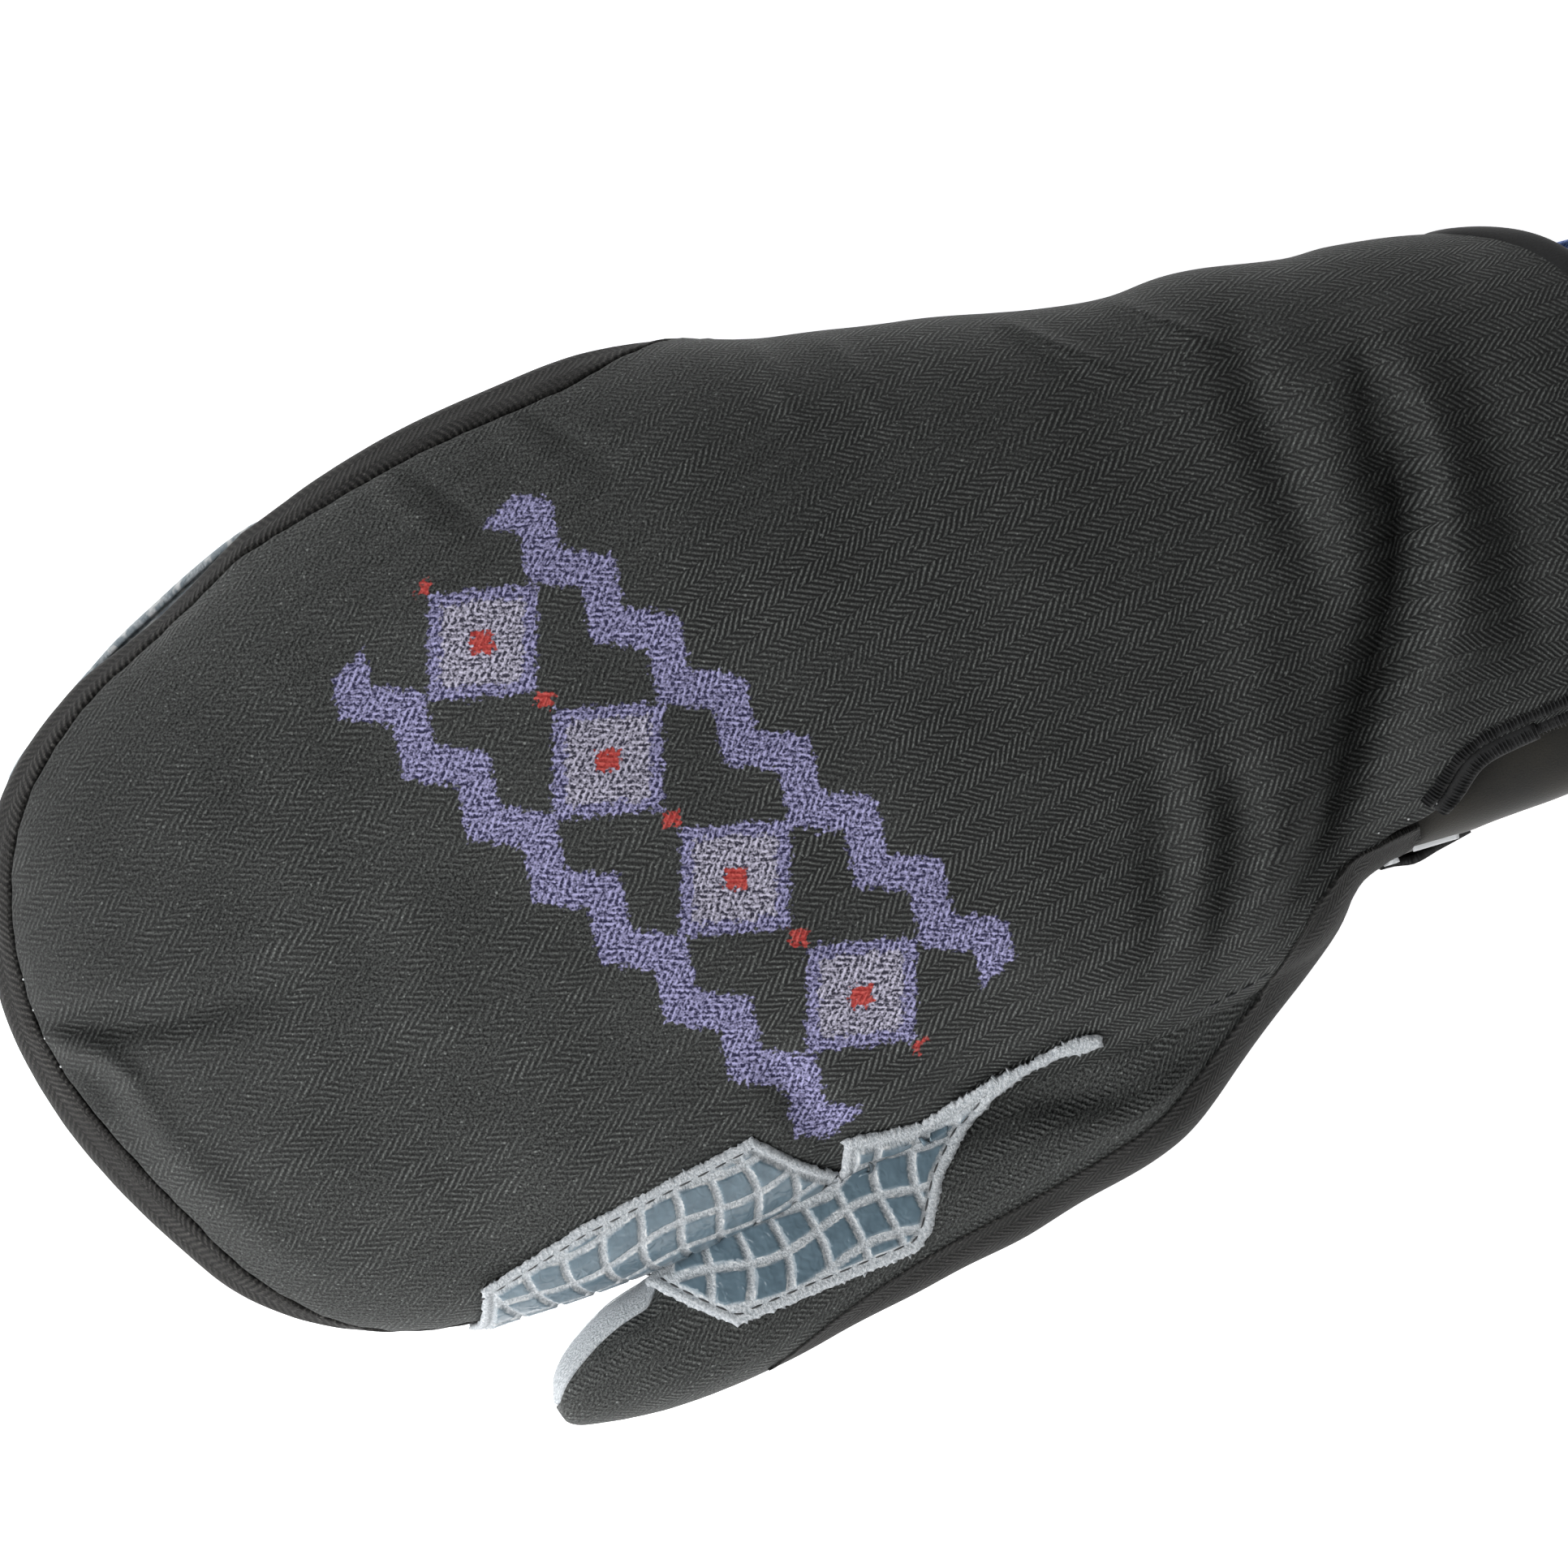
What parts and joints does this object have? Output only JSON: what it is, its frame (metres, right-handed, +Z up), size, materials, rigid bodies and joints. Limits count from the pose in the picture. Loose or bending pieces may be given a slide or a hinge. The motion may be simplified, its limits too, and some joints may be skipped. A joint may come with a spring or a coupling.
{
  "type": "snowboard mitten",
  "caption": "Right-hand padded snowboard mitten lying palm down, with a sewn-on thumb, grip overlays, a short vented gauntlet cuff, a wrist strap and a pull loop.",
  "frame": {"origin": "centre of the mitten's box, on the surface that it lies on", "axes": "+X along the mitten from fingertips to cuff, +Y from thumb to little finger, +Z up from the palm to the back of the hand"},
  "size_m": [0.2924, 0.165, 0.0563],
  "materials": {
    "shell_twill": "charcoal herringbone twill",
    "grip": "pale grey synthetic suede with raised glossy blue-grey blocks",
    "cuff_cloth": "brownish grey knitted tricot",
    "binding": "black ribbed tape",
    "strap_webbing": "black webbing",
    "loop_webbing": "blue webbing"
  },
  "bodies": {
    "root": {"back_panel": "shell_twill", "side_band": "shell_twill", "heel_panel": "shell_twill", "thumb_back_panel": "shell_twill", "thumb_palm_panel": "grip", "palm_panel": "grip", "finger_overlay": "grip", "web_overlay": "grip", "undercuff": "cuff_cloth", "cuff_binding": "binding", "undercuff_binding": "binding", "wrist_strap": "strap_webbing", "pull_loop": "loop_webbing"}
  },
  "joints": []
}
